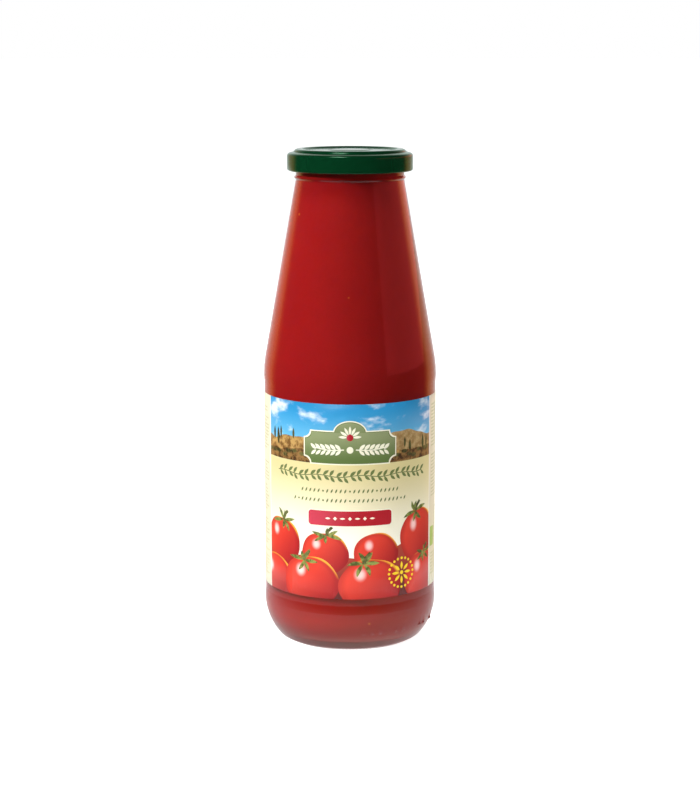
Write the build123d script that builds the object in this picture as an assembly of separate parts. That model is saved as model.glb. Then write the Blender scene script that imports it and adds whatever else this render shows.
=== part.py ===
from build123d import *
import math
import os

# A lidded glass bottle of passata. The axis is +Z, the base stands on z = 0, and -Y is the label's front.
# All sizes are in millimetres.

# The glass, outside
bottle_height = 221.5      # from the base to the glass lip
body_radius = 38.95         # the two contact bands, above and below the label
panel_depth = 0.25          # how far the label panel lies inside the bands
bearing_inset = 9.65        # from the body wall in to the outer edge of the bearing ring
bearing_width = 3.6         # the flat ring that the bottle stands on
heel_foot_inset = 6.35      # from the body wall in to the foot of the heel
heel_foot_height = 1.6
heel_height = 9.6           # where the heel's slope would meet the body wall
heel_foot_round = 5.0
heel_round = 25.0
bearing_round = 0.5
lower_band_height = 9.3     # straight part of the lower band, above the heel
shoulder_band_height = 4.5  # straight part of the upper band, below the cone
band_round = 5.0            # easing at the edges of the bands
shoulder_round = 48.0
neck_flare = 0.21           # how much wider than the finish the neck is where the cone would meet it
neck_depth = 14.1          # from the lip down to that place
neck_round = 17.0

# The bead and the finish, measured down from the lip
finish_radius = 24.15
bead_projection = 0.88      # how far the bead stands out from the finish
bead_depth = 12.15
bead_half_height = 1.0
bead_round = 0.45
bead_root_round = 0.3
lip_round_outer = 1.2
lip_round_inner = 1.0

# The glass, inside
wall = 2.6
neck_wall = 2.6
floor_thickness = 3.0       # at the centre, above the push-up
push_up = 3.2               # height of the hollow under the base
push_up_edge = 2.55         # height at which its slope turns into its shallow roof
push_up_slope = 6.4         # width of that slope
push_up_round = 4.0
bearing_inner_round = 1.2
floor_fall = 2.0            # how far the floor slopes down from its centre to its edge
floor_round = 12.0

# The label
label_bottom = 26.05
label_height = 87.45
label_lap = 8.0             # width of the glued overlap at the back
paper = 0.1
panel_margin_low = 3.25     # panel left bare under the label
panel_margin_high = 4.3     # and above it
panel_step = 3.0            # height over which the wall eases between panel and band

# The lid
sheet = 0.3
skirt_clearance = 3.55      # from the glass finish to the inside of the skirt
crown_clearance = 0.56      # from the glass finish to the inside of the raised crown
skirt_height = 7.65         # from the bottom of the curl to the ledge
crown_height = 2.0          # from the ledge to the top
curl = 1.9                  # thickness of the rolled bottom edge
skirt_round = 1.5
ledge_rise = 0.8            # how far the ledge climbs from the skirt in to the crown
ledge_round = 0.4
crown_round = 1.7
crown_rim = 2.75            # from the lip's outside in to the edge of the sunk panel
panel_sink = 0.6
sink_slope = 0.9            # width of the slope down to the sunk panel
sink_round = 0.8
button_radius = 9.0
button_rise = 0.3
button_slope = 0.6
button_round = 3.0

# The contents
headspace = 7.5             # from the lip down to the passata

# Places that follow from the sizes
panel_radius = body_radius - panel_depth
neck_radius = finish_radius + neck_flare
bead_radius = finish_radius + bead_projection
panel_bottom = label_bottom - panel_margin_low
panel_top = label_bottom + label_height + panel_margin_high
shoulder_height = panel_top + panel_step + shoulder_band_height
neck_height = bottle_height - neck_depth
bead_height = bottle_height - bead_depth
fill_height = bottle_height - headspace
lid_top = bottle_height + sheet
ledge_height = lid_top - crown_height
skirt_radius = finish_radius + skirt_clearance + sheet
crown_radius = finish_radius + crown_clearance + sheet
skirt_bottom = ledge_height - skirt_height

longest_share = 0.98        # of a run, which its two rounded corners may take up


def tangent_length(before, corner, after, rounding):
    """How much of each neighbouring run a rounded corner takes up."""
    run_in = Vector(*corner[:2]) - Vector(*before[:2])
    run_out = Vector(*after[:2]) - Vector(*corner[:2])
    return rounding * math.tan(math.radians(run_in.get_angle(run_out)) / 2)


def fitted_rounds(corners):
    """Each corner's rounding, made smaller only where two corners ask for more than the run between them."""
    wanted = [0.0] * len(corners)
    for i in range(1, len(corners) - 1):
        wanted[i] = tangent_length(corners[i - 1], corners[i], corners[i + 1], corners[i][2])
    share = [1.0] * len(corners)
    for i in range(len(corners) - 1):
        run = math.dist(corners[i][:2], corners[i + 1][:2])
        asked = wanted[i] + wanted[i + 1]
        if asked > longest_share * run:
            fit = longest_share * run / asked
            share[i] = min(share[i], fit)
            share[i + 1] = min(share[i + 1], fit)
    return [corner[2] * part for corner, part in zip(corners, share)]


def outline(corners):
    """Edges through (distance from the axis, height, rounding) corners, in the XZ plane."""
    rounds = fitted_rounds(corners)
    spots = [Vector(corner[0], 0, corner[1]) for corner in corners]
    edges = []
    at = spots[0]
    for i in range(1, len(corners) - 1):
        length = tangent_length(corners[i - 1], corners[i], corners[i + 1], rounds[i])
        run_in = (spots[i] - spots[i - 1]).normalized()
        run_out = (spots[i + 1] - spots[i]).normalized()
        if length == 0:
            edges.append(Edge.make_line(at, spots[i]))
            at = spots[i]
        else:
            start = spots[i] - run_in * length
            end = spots[i] + run_out * length
            edges.append(Edge.make_line(at, start))
            edges.append(Edge.make_tangent_arc(start, run_in, end))
            at = end
    edges.append(Edge.make_line(at, spots[-1]))
    edges.append(Edge.make_line(spots[-1], spots[0]))
    return edges


def turned(corners):
    """The solid that an outline from the axis and back to it sweeps in one full turn."""
    profile = Face(Wire(outline(corners)))
    return Solid.revolve(profile, 360, Axis.Z)


def glass_outside():
    """Corners from the centre of the base, under the ring and up to the lip."""
    bearing_radius = body_radius - bearing_inset
    ring_inside = bearing_radius - bearing_width
    return [
        (0, push_up, 0),
        (ring_inside - push_up_slope, push_up_edge, push_up_round),
        (ring_inside, 0, bearing_inner_round),
        (bearing_radius, 0, bearing_round),
        (body_radius - heel_foot_inset, heel_foot_height, heel_foot_round),
        (body_radius, heel_height, heel_round),
        (body_radius, heel_height + lower_band_height, band_round),
        (panel_radius, panel_bottom, band_round),
        (panel_radius, panel_top, band_round),
        (body_radius, panel_top + panel_step, band_round),
        (body_radius, shoulder_height, shoulder_round),
        (neck_radius, neck_height, neck_round),
        (finish_radius, bead_height - bead_half_height, bead_root_round),
        (bead_radius, bead_height, bead_round),
        (finish_radius, bead_height + bead_half_height, bead_root_round),
        (finish_radius, bottle_height, lip_round_outer),
    ]


def glass_inside():
    """Corners from the centre of the floor, up the inner wall to the lip."""
    floor_height = push_up + floor_thickness
    cavity_radius = body_radius - wall
    bore_radius = finish_radius - neck_wall
    return [
        (0, floor_height, 0),
        (cavity_radius, floor_height - floor_fall, floor_round),
        (cavity_radius, shoulder_height, shoulder_round),
        (bore_radius, neck_height, neck_round),
        (bore_radius, bottle_height, lip_round_inner),
    ]


def make_glass():
    return turned(glass_outside() + glass_inside()[::-1])


def make_passata():
    """The cavity of the glass, up to the fill level."""
    cavity = turned(glass_inside() + [(0, bottle_height, 0)])
    below_fill = Pos(0, 0, fill_height / 2) * Cylinder(body_radius, fill_height)
    return cavity & below_fill


def lid_face(depth):
    """Corners of the lid's sheet at a depth under its outside, from the centre down to the curl."""
    rim = finish_radius - crown_rim
    panel_height = lid_top - panel_sink
    return [
        (0, panel_height + button_rise - depth, 0),
        (button_radius, panel_height + button_rise - depth, button_round),
        (button_radius + button_slope, panel_height - depth, button_round),
        (rim - sink_slope, panel_height - depth, sink_round),
        (rim, lid_top - depth, sink_round),
        (crown_radius - depth, lid_top - depth, crown_round - depth),
        (crown_radius - depth, ledge_height + ledge_rise - depth, ledge_round + depth),
        (skirt_radius - depth, ledge_height - depth, skirt_round - depth),
    ]


def make_lid():
    """A drawn sheet with its bottom edge rolled in to a bead."""
    bead_inside = skirt_radius - curl
    curl_round = curl / 2
    rolled_edge = [
        (skirt_radius, skirt_bottom, curl_round),
        (bead_inside, skirt_bottom, curl_round),
        (bead_inside, skirt_bottom + curl, curl_round),
        (skirt_radius - sheet, skirt_bottom + curl + sheet, sheet),
    ]
    return turned(lid_face(0) + rolled_edge + lid_face(sheet)[::-1])


def make_label():
    """A paper band round the panel, with its end glued over its start at the back."""
    label_radius = panel_radius + paper
    band = Circle(label_radius) - Circle(panel_radius)
    lap_ring = Circle(label_radius + paper) - Circle(label_radius)
    lap = lap_ring & (Pos(0, body_radius) * Rectangle(label_lap, body_radius))
    return Pos(0, 0, label_bottom) * extrude(band + lap, label_height)


os.makedirs("parts", exist_ok=True)
pieces = {
    "bottle_glass": make_glass(),
    "passata": make_passata(),
    "lid": make_lid(),
    "label": make_label(),
}
for name, piece in pieces.items():
    export_step(piece, f"parts/{name}.step")
    print(name, "volume", round(piece.volume / 1000, 2), "cm3")
print("lid top", round(lid_top, 2), "fill level", round(fill_height, 2))
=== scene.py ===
# %% [markdown]
# # A bottle of passata
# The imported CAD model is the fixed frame: a glass bottle, the passata in it, its lid and its paper label.
# Each piece is made again here with the fine detail and the finish of the real thing, in the same place
# and at the same size. The frame gives the heights and radii. What it can't give is named below, in
# millimetres.

# %% Load the frame
import math
import random

import bmesh
import bpy
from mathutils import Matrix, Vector
from mathutils.geometry import delaunay_2d_cdt


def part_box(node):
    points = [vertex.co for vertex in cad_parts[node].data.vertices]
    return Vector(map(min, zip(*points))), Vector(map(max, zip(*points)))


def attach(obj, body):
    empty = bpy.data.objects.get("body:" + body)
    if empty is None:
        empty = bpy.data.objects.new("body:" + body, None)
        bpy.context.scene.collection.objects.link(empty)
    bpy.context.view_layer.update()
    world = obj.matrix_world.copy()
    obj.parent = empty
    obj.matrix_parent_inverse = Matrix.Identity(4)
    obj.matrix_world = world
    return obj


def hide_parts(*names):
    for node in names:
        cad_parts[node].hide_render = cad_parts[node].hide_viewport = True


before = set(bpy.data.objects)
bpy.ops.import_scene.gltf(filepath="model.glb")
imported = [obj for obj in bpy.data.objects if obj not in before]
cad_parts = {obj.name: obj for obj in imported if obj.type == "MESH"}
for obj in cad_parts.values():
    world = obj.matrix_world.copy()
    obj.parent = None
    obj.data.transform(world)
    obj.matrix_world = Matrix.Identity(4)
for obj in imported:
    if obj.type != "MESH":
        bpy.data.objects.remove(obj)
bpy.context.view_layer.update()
MM = 0.001
glass_low, glass_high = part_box("bottle_glass")
label_low, label_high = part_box("label")
lid_low, lid_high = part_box("lid")
passata_low, passata_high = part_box("passata")
body_radius = glass_high[0] / MM
lip_height = glass_high[2] / MM
lid_top = lid_high[2] / MM
skirt_radius = lid_high[0] / MM
fill_height = passata_high[2] / MM
floor_edge_radius = passata_high[0] / MM
print("body", round(body_radius, 2), "lip", round(lip_height, 2), "lid", round(skirt_radius, 2))

# %% [markdown]
# ## Turned shapes
# The glass, the passata and the lid are all round, so one helper turns a profile about the axis.
# A profile is a short list of corners, each with its distance from the axis, its height and how round it is.
# The helper replaces each corner by an arc, so a long profile stays a few readable lines.

# %% Profiles with rounded corners
ARC_STEP = math.radians(7)


def arc_points(before, corner, after, rounding):
    """Points of the arc that rounds one corner off."""
    here = Vector(corner[:2])
    run_in = (here - Vector(before[:2])).normalized()
    run_out = (Vector(after[:2]) - here).normalized()
    turn = run_in.angle(run_out)
    if rounding < 0.01 or turn < 0.01:
        return [here]
    length = rounding * math.tan(turn / 2)
    start = here - run_in * length
    side = Vector((-run_in.y, run_in.x))
    if side.dot(run_out) < 0:
        side = -side
    centre = start + side * rounding
    steps = max(2, math.ceil(turn / ARC_STEP))
    spots = []
    for i in range(steps + 1):
        angle = turn * i / steps
        spots.append(centre - side * rounding * math.cos(angle) + run_in * rounding * math.sin(angle))
    return spots


def rounded(corners):
    """The whole profile as points, in millimetres."""
    spots = [Vector(corners[0][:2])]
    for before, corner, after in zip(corners, corners[1:], corners[2:]):
        spots += arc_points(before, corner, after, corner[2])
    return spots + [Vector(corners[-1][:2])]


def finer(spots, low, high, step, beyond=0.0):
    """The profile with extra points between two heights and beyond a radius, where relief is moulded."""
    out = [spots[0]]
    for a, b in zip(spots, spots[1:]):
        inside = low <= min(a.y, b.y) and max(a.y, b.y) <= high and min(a.x, b.x) >= beyond
        parts = math.ceil((b - a).length / step) if inside else 1
        out += [a.lerp(b, (i + 1) / parts) for i in range(parts)]
    return out


# %% Turn a profile into a mesh
def turned(name, spots, around, relief=None):
    """Sweeps a profile about the axis. relief(angle, spot) may move a point outwards and up."""
    mesh = bpy.data.meshes.new(name)
    bm = bmesh.new()
    rings = []
    for spot in spots:
        if spot.x < 0.001:
            rings.append([bm.verts.new((0, 0, spot.y * MM))])
            continue
        ring = []
        for i in range(around):
            angle = 2 * math.pi * i / around
            out, up = relief(angle, spot) if relief else (0, 0)
            r = (spot.x + out) * MM
            z = (spot.y + up) * MM
            ring.append(bm.verts.new((r * math.sin(angle), -r * math.cos(angle), z)))
        rings.append(ring)
    for a, b in zip(rings, rings[1:]):
        for i in range(around):
            j = (i + 1) % around
            corners = [a[i % len(a)], a[j % len(a)], b[j % len(b)], b[i % len(b)]]
            bm.faces.new(list(dict.fromkeys(corners)))
    bmesh.ops.recalc_face_normals(bm, faces=bm.faces)
    for face in bm.faces:
        face.smooth = True
    bm.to_mesh(mesh)
    bm.free()
    piece = bpy.data.objects.new(name, mesh)
    bpy.context.scene.collection.objects.link(piece)
    print(name, len(mesh.vertices), "points", len(mesh.polygons), "faces")
    return piece


# %% [markdown]
# ## Shader helpers
# Nodes are added by a few short functions. One effect belongs to every finish: a faint mottling of colour
# and gloss, because no real surface is quite even. It is a node group, built once and placed in each
# material with its own scale and strength.

# %% Node helpers
def srgb(red, green, blue):
    """A colour given as 0 to 255 display values, in the linear values that shaders use."""
    def linear(v):
        v /= 255
        return v / 12.92 if v <= 0.04045 else ((v + 0.055) / 1.055) ** 2.4
    return (linear(red), linear(green), linear(blue), 1.0)


class Nodes:
    """Adds nodes to one tree and links them."""

    def __init__(self, tree):
        self.tree = tree

    def add(self, kind, inputs=(), **settings):
        node = self.tree.nodes.new("ShaderNode" + kind)
        for key, value in settings.items():
            setattr(node, key, value)
        for key, value in dict(inputs).items():
            self.put(node.inputs[key], value)
        return node

    def put(self, socket, value):
        if isinstance(value, bpy.types.NodeSocket):
            self.tree.links.new(value, socket)
        else:
            socket.default_value = value

    def math(self, operation, a, b=0.0, c=0.0):
        return self.add("Math", {0: a, 1: b, 2: c}, operation=operation).outputs[0]

    def length(self, x, y):
        """How far the point (x, y) lies from (0, 0)."""
        squares = self.math("ADD", self.math("MULTIPLY", x, x), self.math("MULTIPLY", y, y))
        return self.math("SQRT", squares)

    def ramp(self, value, low, high, to_low=0.0, to_high=1.0, smooth=True):
        kind = "SMOOTHSTEP" if smooth else "LINEAR"
        inputs = {0: value, 1: low, 2: high, 3: to_low, 4: to_high}
        return self.add("MapRange", inputs, interpolation_type=kind).outputs[0]

    def mix(self, factor, a, b, blend="MIX"):
        node = self.add("Mix", data_type="RGBA", blend_type=blend)
        for socket, value in zip((node.inputs[0], node.inputs[6], node.inputs[7]), (factor, a, b)):
            self.put(socket, value)
        return node.outputs[2]

    def noise(self, vector, scale, detail=3.0, roughness=0.5):
        inputs = {"Vector": vector, "Scale": scale, "Detail": detail, "Roughness": roughness}
        return self.add("TexNoise", inputs).outputs["Fac"]


def material(name):
    """An empty material, its node adder and its Principled shader."""
    made = bpy.data.materials.new(name)
    made.use_nodes = True
    nodes = Nodes(made.node_tree)
    shader = next(n for n in made.node_tree.nodes if n.type == "BSDF_PRINCIPLED")
    return made, nodes, shader


def group(name, inputs, outputs):
    """An empty node group with named sockets: its tree, node adder, inputs and output node."""
    tree = bpy.data.node_groups.new(name, "ShaderNodeTree")
    for title, kind, value in inputs:
        socket = tree.interface.new_socket(name=title, in_out="INPUT", socket_type=kind)
        if value is not None:
            socket.default_value = value
    for title, kind in outputs:
        tree.interface.new_socket(name=title, in_out="OUTPUT", socket_type=kind)
    start = tree.nodes.new("NodeGroupInput")
    end = tree.nodes.new("NodeGroupOutput")
    return tree, Nodes(tree), start.outputs, end


# %% Mottling, shared by every finish
mottle, g, given, end = group(
    "mottling",
    [
        ("Color", "NodeSocketColor", None),
        ("Scale", "NodeSocketFloat", 300.0),
        ("Amount", "NodeSocketFloat", 0.1),
        ("Roughness", "NodeSocketFloat", 0.4),
        ("Roughness Spread", "NodeSocketFloat", 0.1),
    ],
    [("Color", "NodeSocketColor"), ("Roughness", "NodeSocketFloat"), ("Height", "NodeSocketFloat")],
)
place = g.add("TexCoord").outputs["Object"]
cloudy = g.noise(place, given["Scale"], 4.0, 0.6)
off_middle = g.math("SUBTRACT", cloudy, 0.5)
swing = g.math("MULTIPLY_ADD", off_middle, given["Amount"], 1.0)
brightness = g.add("CombineXYZ", {0: swing, 1: swing, 2: swing}).outputs[0]
g.put(end.inputs["Color"], g.mix(1.0, given["Color"], brightness, "MULTIPLY"))
rough = g.math("MULTIPLY_ADD", off_middle, given["Roughness Spread"], given["Roughness"])
g.put(end.inputs["Roughness"], rough)
g.put(end.inputs["Height"], cloudy)
print("shared group", mottle.name)


def mottled(nodes, colour, scale, amount, roughness, spread):
    """The mottling group with its own values."""
    node = nodes.add("Group", node_tree=mottle)
    values = {"Color": colour, "Scale": scale, "Amount": amount, "Roughness": roughness}
    values["Roughness Spread"] = spread
    for title, value in values.items():
        nodes.put(node.inputs[title], value)
    return node.outputs


# %% [markdown]
# ## The glass
# A pressed glass bottle is a hollow shell with real thickness. Light bends at both of its faces, so it is
# modelled as a closed shell and not as a thin skin. Moulded into it are the ribs under the bearing ring and
# a row of small dots on the heel, both made by moving the shell's own points so that the shell stays whole.

# %% Glass sizes, in millimetres
wall = 2.6
panel_radius = body_radius - 0.25                # the label's panel is sunk so that the paper isn't scuffed
panel_bottom = label_low[2] / MM - 3.25
panel_top = label_high[2] / MM + 4.3
upper_band = panel_top + 3.0
shoulder_height = upper_band + 4.5
neck_height = lip_height - 14.1
bead_height = lip_height - 12.15
bead_half, bead_bulge = 1.0, 0.88                # the bead under the lid
finish_radius = 24.15
bore_radius = finish_radius - wall
push_up = 3.2
floor_fall = 2.0                                 # the floor inside is higher in the middle
floor_height = passata_low[2] / MM + floor_fall
heel_dots = [9.5, 15.2, 20.9, 33.5, 39.2, 56.5, 62.2, 75.0]   # degrees round from the front
dot_height, dot_radius, dot_rise = 9.4, 0.9, 0.75
dot_zone = body_radius - 3                       # beyond this radius is the glass's outer face
rib_count, rib_rise, rib_top, rib_width = 120, 0.4, 1.4, 11.5
shoulder_round, neck_round = 48.0, 17.0

glass_outside = [
    (0, push_up, 0), (body_radius - 19.65, 2.55, 4.0),
    (body_radius - 13.25, 0, 1.2), (body_radius - 9.65, 0, 0.5),
    (body_radius - 6.35, 1.6, 5.0), (body_radius, 9.6, 25.0), (body_radius, 18.9, 5.0),
    (panel_radius, panel_bottom, 5.0), (panel_radius, panel_top, 5.0),
    (body_radius, upper_band, 5.0), (body_radius, shoulder_height, shoulder_round),
    (finish_radius + 0.21, neck_height, neck_round),
    (finish_radius, bead_height - bead_half, 0.3), (finish_radius + bead_bulge, bead_height, 0.45),
    (finish_radius, bead_height + bead_half, 0.3), (finish_radius, lip_height, 1.2),
]
glass_inside = [
    (0, floor_height, 0), (floor_edge_radius, floor_height - floor_fall, 12.0),
    (floor_edge_radius, shoulder_height, shoulder_round),
    (bore_radius, neck_height, neck_round), (bore_radius, lip_height, 1.0),
]
print("bore", round(bore_radius, 2), "neck at", round(neck_height, 2), "floor at", round(floor_height, 2))


def moulded(angle, spot):
    """The ribs under the bearing ring and the dots on the heel."""
    out, up = 0.0, 0.0
    if spot.y < rib_top and spot.x > body_radius - rib_width:
        ease = min(1.0, (rib_top - spot.y) / 0.7) * min(1.0, (spot.x - body_radius + rib_width) / 1.2)
        up = rib_rise * ease * (0.5 - 0.5 * math.cos(rib_count * angle)) ** 2
    if abs(spot.y - dot_height) < dot_radius and spot.x > dot_zone:
        for turn in heel_dots:
            across = (angle - math.radians(turn)) * spot.x
            away = math.hypot(across, spot.y - dot_height) / dot_radius
            if away < 1:
                out = dot_rise * (1 - away * away)
    return out, up


# %% Make the glass
whole_shell = rounded(glass_outside + glass_inside[::-1])
profile = finer(whole_shell, 7.5, 11.0, 0.3, dot_zone)
glass = turned("clear_glass_bottle", profile, 720, moulded)
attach(glass, "root")
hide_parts("bottle_glass")

# %% Clear glass
clear_glass, n, shader = material("clear_glass")
faint = mottled(n, srgb(249, 252, 250), 60.0, 0.01, 0.0, 0.02)
n.put(shader.inputs["Base Color"], faint["Color"])
shader.inputs["Roughness"].default_value = 0.0
shader.inputs["IOR"].default_value = 1.5
shader.inputs["Transmission Weight"].default_value = 1.0
waves = n.noise(n.add("TexCoord").outputs["Object"], 35.0, 1.0)
bump = n.add("Bump", {"Height": waves, "Strength": 0.12, "Distance": 0.0006})
n.put(shader.inputs["Normal"], bump.outputs[0])
through = n.add("BsdfTransparent", {"Color": srgb(244, 248, 246)})
lamp_ray = n.add("LightPath").outputs["Is Shadow Ray"]
blend = n.add("MixShader", {0: lamp_ray, 1: shader.outputs[0], 2: through.outputs[0]})
n.put(n.tree.nodes["Material Output"].inputs["Surface"], blend.outputs[0])
body_tint = n.add("VolumeAbsorption", {"Color": (0.76, 0.78, 0.72, 1.0), "Density": 45.0})
n.put(n.tree.nodes["Material Output"].inputs["Volume"], body_tint.outputs[0])
glass.data.materials.append(clear_glass)
print("finish", clear_glass.name)

# %% [markdown]
# ## The passata
# Passata is thick and nearly opaque, but light goes a little way in and comes out redder. Subsurface
# scattering gives that. The mesh reaches just into the glass wall, because any gap between the two would
# show as a silvery film of air. A few bits of skin and seed show as small orange specks.

# %% Make the passata
bite = 0.08   # how far it reaches into the glass, in millimetres
floor_edge, shoulder, neck = glass_inside[1:4]
passata_profile = [
    (0, floor_height - bite, 0), (floor_edge[0] + bite, floor_edge[1] - bite, floor_edge[2]),
    (shoulder[0] + bite, shoulder[1], shoulder[2]), (neck[0] + bite, neck[1], neck[2]),
    (bore_radius + bite, fill_height, 0.4), (0, fill_height, 0),
]
passata = turned("sieved_tomato", rounded(passata_profile), 192)
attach(passata, "root")
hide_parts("passata")

# %% Passata finish
tomato_red, n, shader = material("sieved_tomato")
spot_place = n.add("TexCoord").outputs["Object"]
body_red = n.mix(n.noise(spot_place, 45.0, 3.0), srgb(174, 23, 35), srgb(188, 30, 33))
pulp = mottled(n, body_red, 900.0, 0.2, 0.42, 0.1)
cells = n.add("TexVoronoi", {"Vector": spot_place, "Scale": 115.0, "Randomness": 1.0})
near = n.ramp(cells.outputs["Distance"], 0.045, 0.085, 1.0, 0.0)
chosen = n.ramp(n.add("SeparateColor", {0: cells.outputs["Color"]}).outputs[0], 0.55, 0.56)
speck = n.math("MULTIPLY", near, chosen)
n.put(shader.inputs["Base Color"], n.mix(speck, pulp["Color"], srgb(226, 120, 40)))
n.put(shader.inputs["Roughness"], pulp["Roughness"])
shader.inputs["Subsurface Weight"].default_value = 0.6
shader.inputs["Subsurface Radius"].default_value = (1.0, 0.25, 0.08)
shader.inputs["Subsurface Scale"].default_value = 0.003
shader.inputs["Specular IOR Level"].default_value = 1.0
# The orange tint on the gloss is a painted sheen: it stands in for light glowing through the thin passata at
# its edges.
shader.inputs["Specular Tint"].default_value = (1.0, 0.42, 0.06, 1.0)
passata.data.materials.append(tomato_red)
print("finish", tomato_red.name)

# %% [markdown]
# ## The lid
# A twist-off lid is drawn from thin enamelled steel: a skirt with a rolled bottom edge, a ledge, a raised
# crown and a sunk panel with a button that pops up when the seal breaks. The gloss comes from a clear coat.

# %% Make the lid
sheet = lid_top - lip_height   # how thick the steel is
ledge_height = lid_top - 2.0
ledge_rise = 0.8               # how far the ledge climbs from the skirt in to the crown
skirt_bottom = lid_low[2] / MM
crown_radius = finish_radius + 0.56 + sheet
rim = finish_radius - 2.75
panel_height = lid_top - 0.6
curl, curl_round = 1.9, 1.9 * 0.49
lug_count, lug_width, lug_turn = 4, math.radians(15), math.radians(32)
lug_pinch, lug_height = 0.28, 2.4


def lid_face(depth):
    """The lid's sheet at a depth under its outside, from the centre out to the skirt."""
    return [
        (0, panel_height + 0.3 - depth, 0), (9.0, panel_height + 0.3 - depth, 3.0),
        (9.6, panel_height - depth, 3.0),
        (rim - 0.9, panel_height - depth, 0.6), (rim, lid_top - depth, 0.6),
        (crown_radius - depth, lid_top - depth, 1.7 - depth),
        (crown_radius - depth, ledge_height + ledge_rise - depth, 0.4 + depth),
        (skirt_radius - depth, ledge_height - depth, 1.5 - depth),
    ]


def lugs(angle, spot):
    """The rolled edge is pinched inwards at each lug."""
    if spot.y > skirt_bottom + lug_height or spot.x < crown_radius:
        return 0, 0
    nearest = (angle + lug_turn) % (2 * math.pi / lug_count) - math.pi / lug_count
    pinch = max(0.0, 1 - (nearest / lug_width) ** 2) ** 2
    ease = min(1.0, (skirt_bottom + lug_height - spot.y) / 1.2)
    return -lug_pinch * pinch * ease, 0


rolled_edge = [
    (skirt_radius, skirt_bottom, curl_round), (skirt_radius - curl, skirt_bottom, curl_round),
    (skirt_radius - curl, skirt_bottom + curl, curl_round),
    (skirt_radius - sheet, skirt_bottom + curl + sheet, 0.2),
]
lid_sheet = rounded(lid_face(0) + rolled_edge + lid_face(sheet)[::-1])
lid = turned("enamelled_lid", finer(lid_sheet, 0, lid_top, 1.2), 240, lugs)
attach(lid, "root")
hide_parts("lid")

# %% Green enamel
green_enamel, n, shader = material("green_enamel")
enamel = mottled(n, srgb(7, 68, 37), 500.0, 0.12, 0.2, 0.06)
n.put(shader.inputs["Base Color"], enamel["Color"])
n.put(shader.inputs["Roughness"], enamel["Roughness"])
shader.inputs["Metallic"].default_value = 0.5
shader.inputs["Specular IOR Level"].default_value = 0.1
shader.inputs["Specular Tint"].default_value = (0.08, 0.5, 0.38, 1.0)
shader.inputs["Coat Weight"].default_value = 0.45
shader.inputs["Coat Roughness"].default_value = 0.05
peel = n.add("Bump", {"Height": enamel["Height"], "Strength": 0.08, "Distance": 0.0002})
n.put(shader.inputs["Normal"], peel.outputs[0])
lid.data.materials.append(green_enamel)
print("finish", green_enamel.name)

# %% [markdown]
# ## The label
# The label is one sheet of paper wrapped once round the bottle, its end glued over its start at the back.
# Print is made as shapes cut into the sheet, not as a picture: every shape is an outline in millimetres on
# the flat label, and a triangulation divides the sheet along all of them at once. Each face then takes the
# ink of the topmost shape that covers it, so edges stay sharp however near the camera comes.

# %% Label sizes and the flat drawing
paper = 0.1
label_radius = panel_radius + paper
label_bottom, label_top = label_low[2] / MM, label_high[2] / MM
half_round = math.pi * label_radius
lap = 8.0                              # how far the glued end covers the start
sheet_half = half_round + lap / 2
front_half = 44.4
whole_sheet = ((0, 60), (122, 44))     # the centre and half size that plain paper shades over
shapes = []                            # (ink, outline, centre, half size), painted in this order


def shape(ink, outline, centre=None, half=None):
    """Adds one printed shape. Its centre and half size give the ink a place to shade from."""
    area = sum(a[0] * b[1] - b[0] * a[1] for a, b in zip(outline, outline[1:] + outline[:1]))
    if area < 0:
        outline = outline[::-1]   # the triangulation wants every outline to run the same way
    xs = [p[0] for p in outline]
    ys = [p[1] for p in outline]
    centre = centre or ((min(xs) + max(xs)) / 2, (min(ys) + max(ys)) / 2)
    half = half or (max((max(xs) - min(xs)) / 2, 0.01), max((max(ys) - min(ys)) / 2, 0.01))
    shapes.append((ink, outline, centre, half))


def box(left, low, right, high):
    return [(left, low), (right, low), (right, high), (left, high)]


def oval(x, y, a, b, points=40):
    turns = [2 * math.pi * i / points for i in range(points)]
    return [(x + a * math.cos(t), y + b * math.sin(t)) for t in turns]


def turned_to(x, y, flat, turn):
    """An outline turned about its own start and then moved to (x, y)."""
    c, s = math.cos(turn), math.sin(turn)
    return [(x + u * c - v * s, y + u * s + v * c) for u, v in flat]


def leaf(x, y, length, width, turn, bend=0.0):
    """A pointed leaf that starts at (x, y)."""
    up, down = [], []
    for i in range(9):
        t = i / 8
        side = width / 2 * math.sin(math.pi * t) ** 0.9
        mid = bend * math.sin(math.pi * t)
        up.append((t * length, mid + side))
        down.append((t * length, mid - side))
    return turned_to(x, y, up + down[-2:0:-1], turn)


def band(points, width):
    """A thin line of even width along a few points."""
    left, right = [], []
    for i, (x, y) in enumerate(points):
        ax, ay = points[max(i - 1, 0)]
        bx, by = points[min(i + 1, len(points) - 1)]
        run = math.hypot(bx - ax, by - ay) or 1
        nx, ny = -(by - ay) / run * width / 2, (bx - ax) / run * width / 2
        left.append((x + nx, y + ny))
        right.append((x - nx, y - ny))
    return left + right[::-1]


def rounded_box(x, y, a, b, corner, points=6):
    """A box with round corners, or with hollow ones where corner is negative."""
    out = []
    r = abs(corner)
    for k, (sx, sy) in enumerate([(1, 1), (-1, 1), (-1, -1), (1, -1)]):
        for i in range(points + 1):
            if corner > 0:
                t = math.pi / 2 * (k + i / points)
                out.append((x + sx * (a - r) + r * math.cos(t), y + sy * (b - r) + r * math.sin(t)))
            else:
                t = math.pi / 2 * (k + 3 - i / points)
                out.append((x + sx * a + r * math.cos(t), y + sy * b + r * math.sin(t)))
    return out


# %% Draw the landscape
random.seed(11)
scene_low = 87.0
sky_box = box(-front_half, scene_low, front_half, label_top)
shape("paper_back", box(-sheet_half, label_bottom, sheet_half, label_top), *whole_sheet)
shape("cream_field", box(-front_half, label_bottom, front_half, label_top), (0, 60), (front_half, 44))
shape("sky", sky_box, (0, scene_low), (front_half, label_top - scene_low))


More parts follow.
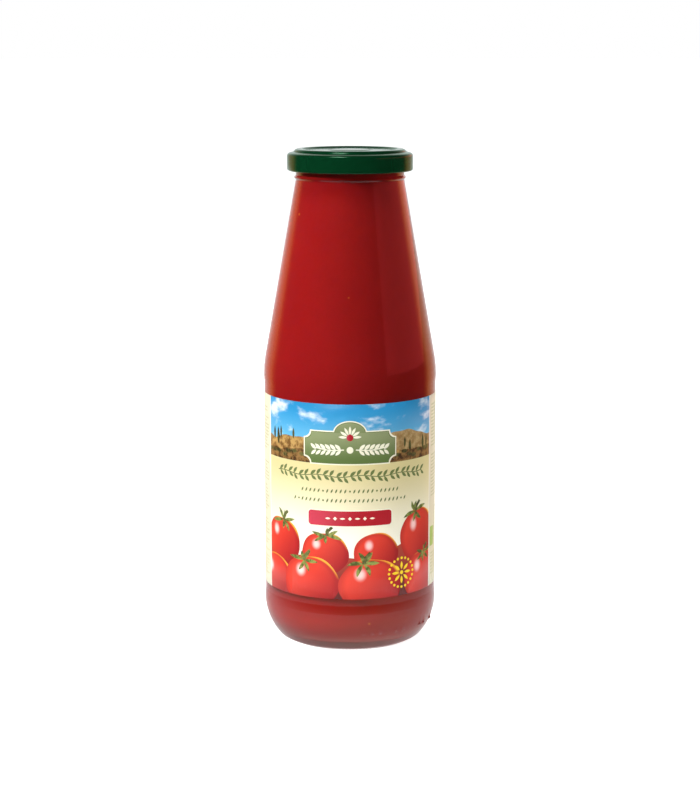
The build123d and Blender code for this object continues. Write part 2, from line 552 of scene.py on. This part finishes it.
def ridge(ink, base, waves, step=1.6):
    """Rolling ground up to a sum of waves."""
    top = []
    count = math.ceil(2 * front_half / step)
    for i in range(count + 1):
        x = -front_half + 2 * front_half * i / count
        top.append((x, base + sum(a * math.sin(x / length + phase) for a, length, phase in waves)))
    ground = [(-front_half, scene_low), (front_half, scene_low)] + top[::-1]
    shape(ink, ground, (0, scene_low), (front_half, 12))
    return dict((round(x), y) for x, y in top)


ridge("far_hills", 98.0, [(2.6, 15, 0.4), (0.8, 4.1, 1.0), (0.25, 1.4, 0.0)])
middle = ridge("ochre_hills", 94.5, [(3.4, 19, 2.4), (1.0, 6.3, 0.3), (0.3, 1.7, 2.0)])
for x, tall in [(-40, 6.5), (-37, 8), (-35, 5.5), (-27, 5), (26, 5), (29, 6.5), (38, 7.5), (41, 6)]:
    ground = middle.get(x, 94) - 1.2
    shape("cypress", leaf(x, ground, tall, tall * 0.24, math.pi / 2))
ridge("brown_hills", 90.2, [(2.2, 11, 4.2), (0.7, 3.9, 1.0), (0.3, 1.3, 0.0)])
for i in range(26):
    x = -43 + i * 3.4 + random.uniform(-0.8, 0.8)
    if abs(x) > 20:
        shape("olive_tree", oval(x, 89.0 + random.uniform(0, 2.4), 1.3 + random.random() * 0.5, 0.9, 12))

# %% Draw the plaque, the garland and the banner
plaque_y = 94.2
for border, grow in [("cream_line", 1.3), ("leaf_green", 0.75), ("plaque_green", 0.45)]:
    shape(border, oval(0, plaque_y + 6.6, 6.2 + grow, 4.2 + grow, 36))
    shape(border, rounded_box(0, plaque_y, 20.0 + grow, 6.3 + grow, -3.2))
for side in (-1, 1):
    turn = 0 if side > 0 else math.pi
    stalk = [(side * 2.6, plaque_y - 0.8), (side * 9, plaque_y - 1.2), (side * 17, plaque_y)]
    shape("cream_line", band(stalk, 0.5))
    for i in range(6):
        x = 4.0 + i * 2.25
        shape("cream_line", leaf(side * x, plaque_y - 0.9, 3.6, 1.5, turn + side * 0.75))
        shape("cream_line", leaf(side * x, plaque_y - 1.1, 3.3, 1.35, turn - side * 0.75))
for i in range(7):
    turn = math.pi / 2 + (i - 3) * 0.5
    shape("cream_line", leaf(1.2 * math.cos(turn), plaque_y + 4.6 + 1.2 * math.sin(turn), 3.9, 1.15, turn))
shape("banner_red", oval(0, plaque_y + 4.6, 1.5, 1.5, 20))
shape("cream_line", oval(0, plaque_y - 0.9, 1.5, 1.5, 20))

garland_y = 81.6


def garland(x):
    """The height of the garland's stem."""
    return garland_y + 0.45 * math.sin(x / 3.0)


shape("leaf_green", band([(x, garland(x)) for x in range(-37, 38, 1)], 0.4))
for i in range(25):
    x = -36 + 3.0 * i
    y = garland(x)
    lean = 0.95 if i % 2 else 0.7
    shape("leaf_green", leaf(x, y, 3.5, 1.35, lean, 0.15))
    shape("leaf_green", leaf(x + 0.4, y, 3.3, 1.3, -lean, -0.15))
for row_y, half, pitch in [(74.9, 22.0, 2.0), (70.6, 26.5, 2.0)]:
    count = int(half / pitch)
    for i in range(-count, count + 1):
        if i % 6:
            shape("leaf_green", leaf(i * pitch - 0.5, row_y - 0.95, 2.1, 0.75, 1.15))
        else:
            shape("leaf_green", oval(i * pitch, row_y, 0.45, 0.45, 12))

# %% Draw the tomatoes
def tomato(x, y, a, b):
    """A round fruit with a slightly lobed outline."""
    outline = []
    for i in range(56):
        t = 2 * math.pi * i / 56
        lobe = 1 + 0.018 * math.cos(5 * t + x) - 0.05 * max(0.0, math.sin(t)) ** 12
        outline.append((x + a * lobe * math.cos(t), y + b * lobe * math.sin(t)))
    shape("tomato", outline, (x, y), (a, b))


def crown(x, y, size, turn, seed):
    """The green star of sepals with its cut stem."""
    pick = random.Random(seed)
    for i in range(6):
        way = turn + i * math.pi / 3 + pick.uniform(-0.25, 0.25)
        flat = 0.55 + 0.45 * abs(math.cos(way))
        length = size * flat * pick.uniform(0.9, 1.15)
        sepal = leaf(x, y, length, size * 0.24, way, pick.uniform(-0.1, 0.1) * size)
        shape("sepal", sepal, (x, y), (size, size))
    stem = [(x, y), (x + 0.12 * size, y + 0.35 * size), (x + 0.4 * size, y + 0.62 * size)]
    shape("stem", band(stem, 0.2 * size))


behind_fruit = [(-44.4, 26), (44.4, 26), (44.4, 46), (25, 50), (10, 44), (-12, 46), (-30, 44), (-44.4, 50)]
shape("deep_shade", behind_fruit)
tomato(-35.0, 49.5, 11.5, 11.0)
crown(-33.5, 59.2, 7.0, 0.3, 3)
tomato(-11.5, 46.5, 11.0, 9.8)
crown(-10.5, 54.6, 6.6, 0.6, 4)
tomato(12.0, 46.0, 10.5, 10.2)
tomato(35.5, 52.0, 11.8, 13.0)
crown(33.0, 63.2, 7.2, 0.2, 5)
tomato(-40.0, 31.5, 12.0, 11.5)
tomato(-18.5, 33.0, 13.8, 12.2)
crown(-21.5, 42.6, 7.4, 0.9, 6)
tomato(38.5, 33.0, 12.5, 12.0)
tomato(9.5, 32.0, 14.6, 12.6)
crown(6.0, 42.0, 8.0, 0.1, 7)
crown(39.5, 43.2, 6.4, 0.5, 8)

banner_y = 62.6
shape("cream_line", rounded_box(0, banner_y, 19.4, 3.75, 1.7))
shape("banner_red", rounded_box(0, banner_y, 19.0, 3.35, 1.4), (0, banner_y), (19.0, 3.35))
for i in range(-3, 4):
    x = i * 3.3
    if i % 2:
        shape("cream_line", leaf(x - 1.2, banner_y, 2.4, 0.8, 0.0))
    else:
        shape("cream_line", oval(x, banner_y, 0.85, 0.85, 4))

# %% Draw the yellow rosette
rosette_x, rosette_y = 24.5, 36.5
for i in range(20):
    turn = 2 * math.pi * i / 20
    x, y = rosette_x + 6.6 * math.cos(turn), rosette_y + 6.6 * math.sin(turn)
    shape("sun_yellow", oval(x, y, 0.62, 0.62, 10))
for i in range(8):
    turn = 2 * math.pi * i / 8
    x, y = rosette_x + 1.5 * math.cos(turn), rosette_y + 1.5 * math.sin(turn)
    shape("sun_yellow", leaf(x, y, 3.6, 1.3, turn))
shape("sun_yellow", oval(rosette_x, rosette_y, 0.9, 0.9, 16))

# %% Draw the side and back panels over whatever ran past the front
for side in (-1, 1):
    near, far = sorted((side * front_half, side * sheet_half))
    shape("side_panel", box(near, label_bottom, far, label_top), *whole_sheet)
    edge = side * (front_half + 0.35)
    shape("white_margin", box(edge - 0.35, label_bottom, edge + 0.35, label_top))


def rules(left, right, low, high, pitch, seed):
    """A block of thin lines of uneven length, in place of small print."""
    pick = random.Random(seed)
    y = high
    while y > low:
        ends = right - (right - left) * pick.choice([0, 0, 0.06, 0.1, 0.35])
        shape("pale_rule", box(left, y - 0.28, ends, y + 0.28))
        y -= pitch


rules(47.2, 76.0, 90.0, 109.0, 1.55, 1)
rules(47.2, 76.0, 66.0, 86.0, 1.55, 2)
rules(52.8, 76.0, 44.5, 61.0, 1.55, 3)
rules(47.2, 76.0, 30.0, 40.5, 1.55, 4)
rules(-76.0, -47.2, 88.0, 109.0, 1.55, 5)
rules(-76.0, -47.2, 60.0, 84.0, 1.55, 6)
rules(-76.0, -47.2, 30.0, 56.0, 1.55, 7)
shape("square_green", rounded_box(48.7, 48.5, 2.6, 4.5, 0.5))
for side in (-1, 1):
    middle_x = side * 98.0
    shape("leaf_green", rounded_box(middle_x, 95.0, 14.4, 10.4, 1.6))
    shape("side_panel", rounded_box(middle_x, 95.0, 14.0, 10.0, 1.3), *whole_sheet)
    for i in range(6):
        shape("leaf_green", leaf(middle_x, 90.5, 9.5, 3.0, math.pi / 2 + (i - 2.5) * 0.42))
    rules(middle_x - 14, middle_x + 14, 52.0, 79.0, 1.8, 8 + side)
    shape("tomato", oval(middle_x, 38.5, 7.5, 6.8, 40), (middle_x, 38.5), (7.5, 6.8))
    crown(middle_x, 44.6, 4.6, 0.4, 11 + side)
print("printed shapes", len(shapes))

# %% Cut the sheet along every outline
GRID = 1.4   # millimetres between the fold lines that let the flat sheet bend round


def cut_sheet():
    """Faces of the flat sheet, each with the number of the topmost shape over it."""
    points, edges, faces = [], [], []
    for ink, outline, centre, half in shapes:
        start = len(points)
        points += [Vector(p) for p in outline]
        faces.append(list(range(start, len(points))))
    count = math.ceil(2 * sheet_half / GRID)
    for i in range(1, count):
        x = -sheet_half + 2 * sheet_half * i / count
        edges.append((len(points), len(points) + 1))
        points += [Vector((x, label_bottom)), Vector((x, label_top))]
    spots, _, tris, _, _, covered = delaunay_2d_cdt(points, edges, faces, 1, 1e-5, True)
    kept = [(tri, max(over)) for tri, over in zip(tris, covered) if 0 in over]
    return spots, kept


flat_spots, flat_faces = cut_sheet()
print("sheet", len(flat_spots), "points", len(flat_faces), "faces")


# %% Wrap the sheet round the bottle
def wrapped(spot):
    """A point of the flat label in its place on the bottle. The end rises over the start at the back."""
    rise = min(1.0, max(0.0, (spot.x - half_round + lap / 2 + 1.5) / 1.5))
    r = label_radius + paper * rise * rise * (3 - 2 * rise)
    angle = spot.x / label_radius
    return Vector((r * math.sin(angle), -r * math.cos(angle), spot.y)) * MM


inks = list(dict.fromkeys(ink for ink, *_ in shapes))
mesh = bpy.data.meshes.new("paper_label")
mesh.from_pydata([wrapped(s) for s in flat_spots], [], [tri for tri, _ in flat_faces])
shade = mesh.uv_layers.new(name="shade")
for polygon, (tri, top) in zip(mesh.polygons, flat_faces):
    ink, _, centre, half = shapes[top]
    polygon.material_index = inks.index(ink)
    polygon.use_smooth = True
    for loop, vertex in zip(polygon.loop_indices, polygon.vertices):
        spot = flat_spots[vertex]
        shade.data[loop].uv = ((spot.x - centre[0]) / half[0], (spot.y - centre[1]) / half[1])
label = bpy.data.objects.new("paper_label", mesh)
bpy.context.scene.collection.objects.link(label)
thicken = label.modifiers.new("paper", "SOLIDIFY")
thicken.thickness = paper * MM
thicken.offset = -1
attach(label, "root")
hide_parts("label")

# %% [markdown]
# ## Inks
# Every ink lies on the same varnished paper, so one function gives them all their grain and gloss, and each
# ink only says its colour. Sky, fields and fruit shade across their own shape, from its centre outwards.

# %% The ink maker
def ink(name, colour_from, roughness=0.34):
    """A printed ink. colour_from(nodes, u, v) gives its colour; u and v run from -1 to 1 over the shape."""
    made, n, shader = material("ink_" + name)
    inside = n.add("SeparateXYZ", {0: n.add("UVMap", uv_map="shade").outputs[0]}).outputs
    printed = mottled(n, colour_from(n, inside[0], inside[1]), 2600.0, 0.1, roughness, 0.12)
    n.put(shader.inputs["Base Color"], printed["Color"])
    n.put(shader.inputs["Roughness"], printed["Roughness"])
    shader.inputs["Specular IOR Level"].default_value = 0.35
    fibres = n.add("Bump", {"Height": printed["Height"], "Strength": 0.1, "Distance": 0.00005})
    n.put(shader.inputs["Normal"], fibres.outputs[0])
    return made


def plain(*colour):
    return lambda n, u, v: n.mix(n.ramp(v, -1, 1), srgb(*[c * 0.97 for c in colour]), srgb(*colour))


def fade(low, high, a=-1.0, b=1.0):
    return lambda n, u, v: n.mix(n.ramp(v, a, b), srgb(*low), srgb(*high))


def object_place(n):
    return n.add("TexCoord").outputs["Object"]


def sky_colour(n, u, v):
    blue = n.mix(n.ramp(v, 0.1, 1.0), srgb(112, 188, 224), srgb(44, 146, 202))
    stretched = n.add("Mapping", {"Vector": object_place(n), "Scale": (1.0, 1.0, 2.0)}).outputs[0]
    cloud = n.ramp(n.noise(stretched, 62.0, 5.0, 0.55), 0.5, 0.68)
    return n.mix(n.math("MULTIPLY", cloud, 0.9), blue, srgb(236, 244, 250))


def ground_colour(dark, light):
    def colour(n, u, v):
        patch = n.ramp(n.noise(object_place(n), 420.0, 5.0, 0.65), 0.38, 0.62)
        return n.mix(patch, srgb(*dark), srgb(*light))
    return colour


def tomato_colour(n, u, v):
    lit = n.math("MULTIPLY_ADD", n.math("SUBTRACT", v, u), 0.5, 0.0)
    body = n.mix(n.ramp(lit, -0.8, 0.7), srgb(158, 24, 28), srgb(222, 62, 42))
    out = n.length(u, v)
    edge = n.ramp(out, 0.72, 1.0)
    body = n.mix(n.math("MULTIPLY", edge, 0.45), body, srgb(132, 20, 26))
    top_right = n.ramp(n.math("ADD", n.math("MULTIPLY", u, 0.45), v), 0.55, 1.0)
    rim_light = n.math("MULTIPLY", n.ramp(out, 0.9, 0.97), top_right)
    body = n.mix(rim_light, body, srgb(238, 168, 52))
    du = n.math("ADD", u, 0.34)
    dv = n.math("SUBTRACT", v, 0.42)
    shine = n.ramp(n.length(du, n.math("MULTIPLY", dv, math.sqrt(0.6))), 0.04, 0.24, 0.85, 0.0)
    return n.mix(shine, body, srgb(250, 214, 208))


def banner_colour(n, u, v):
    return n.mix(n.ramp(u, -1.0, 0.3), srgb(196, 58, 78), srgb(172, 22, 36))


def plaque_colour(n, u, v):
    return n.mix(n.ramp(v, -1.0, 1.0), srgb(94, 116, 60), srgb(142, 152, 108))


# %% Mix every ink
recipes = {
    "paper_back": plain(221, 214, 186),
    "side_panel": plain(222, 216, 188),
    "cream_field": fade((246, 243, 226), (216, 203, 146), -0.35, 0.62),
    "sky": sky_colour,
    "far_hills": ground_colour((150, 118, 72), (184, 156, 104)),
    "ochre_hills": ground_colour((120, 82, 40), (190, 152, 88)),
    "brown_hills": ground_colour((70, 46, 24), (150, 112, 62)),
    "cypress": ground_colour((44, 48, 24), (84, 84, 44)),
    "olive_tree": ground_colour((52, 50, 26), (112, 104, 56)),
    "cream_line": plain(243, 240, 216),
    "leaf_green": plain(104, 118, 66),
    "plaque_green": plaque_colour,
    "banner_red": banner_colour,
    "tomato": tomato_colour,
    "sepal": ground_colour((70, 84, 36), (140, 150, 74)),
    "stem": ground_colour((60, 66, 34), (108, 112, 60)),
    "deep_shade": fade((92, 26, 24), (170, 66, 50)),
    "sun_yellow": plain(250, 214, 40),
    "white_margin": plain(244, 242, 230),
    "pale_rule": plain(188, 190, 146),
    "square_green": plain(158, 190, 96),
}
for name in inks:
    label.data.materials.append(ink(name, recipes[name]))
print("inks", len(inks))

# %% [markdown]
# ## Studio
# A pale floor and plain soft light. In the glass and the enamel the surroundings show as white behind the
# bottle, warm at its sides and dark ahead, as in a studio with a lit backdrop. The warmth at the sides is a
# painted reflection: it stands in for light that shines through the thin passata at the bottle's edges.
# That draws the pale rims and the warm fringes down both sides of the bottle and keeps its front clear. The
# floor shows the same in gloss, and it lights the heel a little, as a white sheet under the bottle does.

# %% Backdrop, seen only in gloss
def backdrop_colour(nodes, behind):
    """Dark ahead of the bottle, warm at its sides, white behind; the warm is a painted reflection of light
    through the thin passata at the edges. behind runs from -1, ahead, to 1.
    """
    ramp = nodes.add("ValToRGB", {0: nodes.ramp(behind, 0.4, 1.0, smooth=False)})
    stops = ramp.color_ramp.elements
    stops[0].position, stops[0].color = 0.0, (0.03, 0.03, 0.03, 1)
    stops[1].position, stops[1].color = 0.95, (1, 1, 1, 1)
    # The warm stops are a painted reflection, standing in for light through the thin passata at the bottle's
    # edges.
    warm = {0.18: (0.5, 0.2, 0.05, 1), 0.34: (1.0, 0.5, 0.18, 1), 0.68: (1.0, 0.7, 0.52, 1)}
    for spot, colour in warm.items():
        stops.new(spot).color = colour
    return ramp.outputs[0]


# %% Floor
bpy.ops.mesh.primitive_plane_add(size=60.0, location=(0, 0, 0))
floor = bpy.context.object
floor.name = "studio_floor"
floor_paint, n, shader = material("studio_floor")
shader.inputs["Base Color"].default_value = (0.8, 0.8, 0.8, 1)
shader.inputs["Roughness"].default_value = 0.9
shader.inputs["Specular IOR Level"].default_value = 0.0
floor_level, through_glass = 0.85, 0.25   # how bright the floor glows, and how much of that glass shows
path = n.add("LightPath").outputs
ground = n.add("TexCoord").outputs["Object"]
away = n.add("VectorMath", {0: ground}, operation="LENGTH").outputs["Value"]
near_light = n.math("MULTIPLY", path["Is Diffuse Ray"], n.ramp(away, 0.08, 0.2, 0.8, 0.0))
seen = n.math("MAXIMUM", path["Is Camera Ray"], near_light)
seen = n.math("MULTIPLY_ADD", path["Is Transmission Ray"], through_glass, seen)
glow = n.add("Emission", {"Color": (1, 1, 1, 1), "Strength": n.math("MULTIPLY", seen, floor_level)})
both = n.add("AddShader", {0: shader.outputs[0], 1: glow.outputs[0]})
behind = n.math("DIVIDE", n.add("SeparateXYZ", {0: ground}).outputs[1], away)
mirrored = n.mix(n.ramp(away, 0.1, 0.17), (0.9, 0.9, 0.9, 1), backdrop_colour(n, behind))
look = n.add("Emission", {"Color": mirrored, "Strength": 1.0})
surface = n.add("MixShader", {0: path["Is Glossy Ray"], 1: both.outputs[0], 2: look.outputs[0]})
n.put(n.tree.nodes["Material Output"].inputs["Surface"], surface.outputs[0])
floor.data.materials.append(floor_paint)
print("floor", floor.name)

# %% Surroundings
world = bpy.data.worlds.new("studio")
bpy.context.scene.world = world
world.use_nodes = True
w = Nodes(world.node_tree)
sky_light = world.node_tree.nodes["Background"]
way = w.add("SeparateXYZ", {0: w.add("TexCoord").outputs["Generated"]}).outputs
# The red panel shows only in gloss: a painted red reflection that stands in for light falling on the right
# side of the passata.
panel_edge = math.radians(50)   # a red panel stands at the right, from a little ahead to behind the bottle
past_edge = w.math("MULTIPLY", way[0], math.cos(panel_edge))
past_edge = w.math("ADD", past_edge, w.math("MULTIPLY", way[1], math.sin(panel_edge)))
red_panel_reflection = w.math("MULTIPLY", w.ramp(past_edge, -0.01, 0.01), w.ramp(way[0], 0.25, 0.5))
warm_side = w.mix(red_panel_reflection, backdrop_colour(w, way[1]), (0.9, 0.09, 0.1, 1), "ADD")
plain_side = w.ramp(way[1], 0.45, 0.95, 0.03, 1.0)
plain_side = w.add("CombineXYZ", {0: plain_side, 1: plain_side, 2: plain_side}).outputs[0]
surroundings = w.mix(w.ramp(way[2], 0.24, 0.34), warm_side, plain_side)
path = w.add("LightPath").outputs
not_mirrored = w.math("SUBTRACT", 1.0, path["Is Glossy Ray"])
soft_light = w.math("MULTIPLY_ADD", w.ramp(way[1], 0.42, 0.62), 0.85, 0.15)
level = w.add("Mix", {0: path["Is Camera Ray"], 2: soft_light, 3: 1.0}, data_type="FLOAT").outputs[0]
even = w.add("CombineXYZ", {0: level, 1: level, 2: level}).outputs[0]
w.put(sky_light.inputs["Color"], w.mix(not_mirrored, surroundings, even))
sky_light.inputs["Strength"].default_value = 1.0
print("world", world.name)


# %% Lamps
def softbox(name, place, target, width, height, power, mirrored=False, spread=180):
    """A soft lamp, with its spread in degrees. Unless mirrored, it doesn't show in the bottle's gloss."""
    data = bpy.data.lights.new(name, "AREA")
    data.shape = "RECTANGLE"
    data.size, data.size_y, data.energy = width, height, power
    data.spread = math.radians(spread)
    lamp = bpy.data.objects.new(name, data)
    lamp.location = place
    lamp.rotation_euler = (Vector(target) - Vector(place)).to_track_quat("-Z", "Y").to_euler()
    lamp.visible_glossy = mirrored
    lamp.visible_transmission = mirrored
    bpy.context.scene.collection.objects.link(lamp)


middle_of_bottle = (0, 0, 0.11)
softbox("key_left", (-1.05, -0.72, 0.8), middle_of_bottle, 0.35, 0.35, 17.6)
softbox("side_right", (1.3, 0.1, 0.4), middle_of_bottle, 0.6, 0.8, 5)
softbox("front_low", (0.45, -1.2, 0.1), middle_of_bottle, 0.5, 0.3, 1.2)
softbox("heel_low", (-0.2, -0.45, 0.03), (0, 0, 0.0), 0.3, 0.05, 0.04, spread=30)
softbox("back_left", (-0.9, 1.0, 0.5), middle_of_bottle, 0.6, 0.8, 6)
softbox("back_right", (0.9, 1.0, 0.5), middle_of_bottle, 0.6, 0.8, 6)
softbox("top", (-0.25, -0.35, 1.1), middle_of_bottle, 0.35, 0.25, 3, mirrored=True)
print("lamps", len(bpy.data.lights))

# %% Camera
looking_down = math.radians(10.234)
camera_data = bpy.data.cameras.new("camera")
camera_data.lens = 89.32
camera_data.sensor_width = 36
camera = bpy.data.objects.new("camera", camera_data)
camera.location = (0, -0.8853, 0.2684)
camera.rotation_euler = (math.pi / 2 - looking_down, 0, 0)
bpy.context.scene.collection.objects.link(camera)
bpy.context.scene.camera = camera
bpy.context.scene.view_settings.view_transform = "Standard"
print("camera at", tuple(camera.location))
